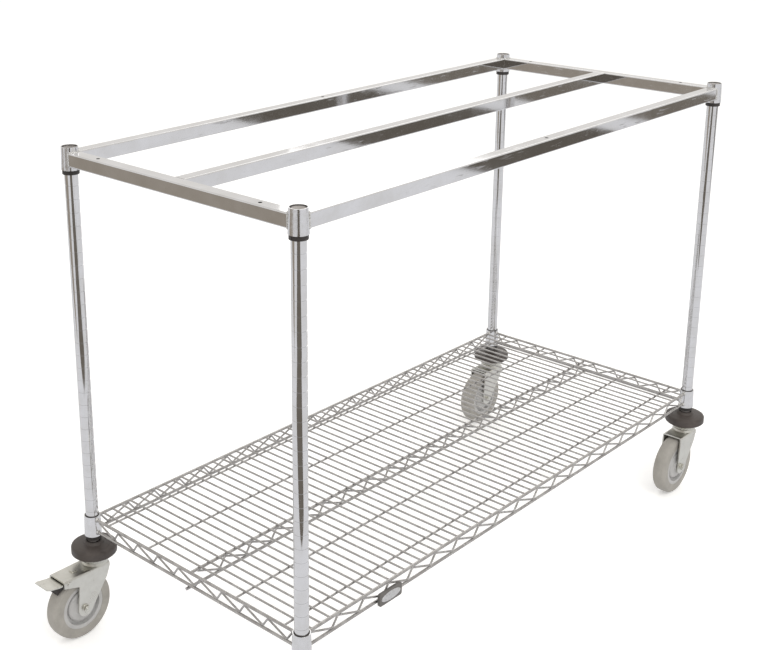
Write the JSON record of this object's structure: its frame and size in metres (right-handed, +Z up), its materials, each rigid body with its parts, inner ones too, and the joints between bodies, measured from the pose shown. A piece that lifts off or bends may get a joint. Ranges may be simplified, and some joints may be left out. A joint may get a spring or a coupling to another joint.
{
  "type": "rolling utility cart",
  "caption": "Rolling utility cart: grooved round posts carry a chrome wire shelf and an open square-tube top frame, on swivel casters with foot brakes at one end.",
  "frame": {"origin": "on the floor, under the middle of the bounding box", "axes": "+Z up, +X along the long side towards the end without brakes, +Y from the front to the back"},
  "size_m": [1.5076, 0.6614, 0.992],
  "materials": {
    "chrome": "bright chrome plate on drawn tube",
    "rail_chrome": "bright chrome plate on square tube",
    "wire": "chrome plate on welded wire",
    "cap_metal": "satin pressed cap",
    "zinc": "zinc-plated pressed steel",
    "black_plastic": "black moulded plastic",
    "badge_plastic": "dark grey plastic",
    "bumper_rubber": "dark grey-black rubber",
    "black_rubber": "black rubber",
    "hub_plastic": "light grey plastic",
    "tyre_rubber": "warm grey non-marking tread"
  },
  "bodies": {
    "cart": {"post_front_left": "chrome", "post_front_right": "chrome", "post_back_left": "chrome", "post_back_right": "chrome", "post_caps": "cap_metal", "top_collars": "chrome", "shelf_collars": "chrome", "top_sleeves": "black_plastic", "shelf_sleeves": "black_plastic", "rail_front": "rail_chrome", "rail_back": "rail_chrome", "rail_left": "rail_chrome", "rail_right": "rail_chrome", "rail_centre": "rail_chrome", "edge_wires_front": "wire", "edge_wires_right": "wire", "edge_wires_back": "wire", "edge_wires_left": "wire", "snake_front": "wire", "snake_right": "wire", "snake_back": "wire", "snake_left": "wire", "snake_centre": "wire", "cross_wires": "wire", "support_wires": "wire", "badge": "badge_plastic", "bumper_front_left": "bumper_rubber", "bumper_front_right": "bumper_rubber", "bumper_back_left": "bumper_rubber", "bumper_back_right": "bumper_rubber", "swivel_mount_front_left": "zinc", "swivel_mount_front_right": "zinc", "swivel_mount_back_left": "zinc", "swivel_mount_back_right": "zinc"},
    "caster_front_left": {"fork_front_left": "zinc", "axle_front_left": "zinc", "brake_pin_front_left": "zinc"},
    "wheel_front_left": {"hub_front_left": "hub_plastic", "tyre_front_left": "tyre_rubber", "bearings_front_left": "zinc"},
    "brake_front_left": {"brake_pedal_front_left": "zinc", "brake_pad_front_left": "black_rubber"},
    "caster_front_right": {"fork_front_right": "zinc", "axle_front_right": "zinc"},
    "wheel_front_right": {"hub_front_right": "hub_plastic", "tyre_front_right": "tyre_rubber", "bearings_front_right": "zinc"},
    "caster_back_left": {"fork_back_left": "zinc", "axle_back_left": "zinc", "brake_pin_back_left": "zinc"},
    "wheel_back_left": {"hub_back_left": "hub_plastic", "tyre_back_left": "tyre_rubber", "bearings_back_left": "zinc"},
    "brake_back_left": {"brake_pedal_back_left": "zinc", "brake_pad_back_left": "black_rubber"},
    "caster_back_right": {"fork_back_right": "zinc", "axle_back_right": "zinc"},
    "wheel_back_right": {"hub_back_right": "hub_plastic", "tyre_back_right": "tyre_rubber", "bearings_back_right": "zinc"}
  },
  "joints": [
    {"name": "swivel_front_left", "type": "hinge", "parent": "cart", "child": "caster_front_left", "pos_m": [-0.62475, -0.28575, 0.1465], "axis": [0, 0, 1], "continuous": true},
    {"name": "roll_front_left", "type": "hinge", "parent": "caster_front_left", "child": "wheel_front_left", "pos_m": [-0.66975, -0.28575, 0.069], "axis": [0, 1, 0], "continuous": true},
    {"name": "brake_front_left", "type": "hinge", "parent": "caster_front_left", "child": "brake_front_left", "pos_m": [-0.70375, -0.28575, 0.1378], "axis": [0, -1, 0], "range_deg": [0, 12]},
    {"name": "swivel_front_right", "type": "hinge", "parent": "cart", "child": "caster_front_right", "pos_m": [0.70875, -0.28575, 0.1465], "axis": [0, 0, 1], "continuous": true},
    {"name": "roll_front_right", "type": "hinge", "parent": "caster_front_right", "child": "wheel_front_right", "pos_m": [0.66375, -0.28575, 0.069], "axis": [0, 1, 0], "continuous": true},
    {"name": "swivel_back_left", "type": "hinge", "parent": "cart", "child": "caster_back_left", "pos_m": [-0.62475, 0.28575, 0.1465], "axis": [0, 0, 1], "continuous": true},
    {"name": "roll_back_left", "type": "hinge", "parent": "caster_back_left", "child": "wheel_back_left", "pos_m": [-0.66975, 0.28575, 0.069], "axis": [0, 1, 0], "continuous": true},
    {"name": "brake_back_left", "type": "hinge", "parent": "caster_back_left", "child": "brake_back_left", "pos_m": [-0.70375, 0.28575, 0.1378], "axis": [0, -1, 0], "range_deg": [0, 12]},
    {"name": "swivel_back_right", "type": "hinge", "parent": "cart", "child": "caster_back_right", "pos_m": [0.70875, 0.28575, 0.1465], "axis": [0, 0, 1], "continuous": true},
    {"name": "roll_back_right", "type": "hinge", "parent": "caster_back_right", "child": "wheel_back_right", "pos_m": [0.66375, 0.28575, 0.069], "axis": [0, 1, 0], "continuous": true}
  ]
}
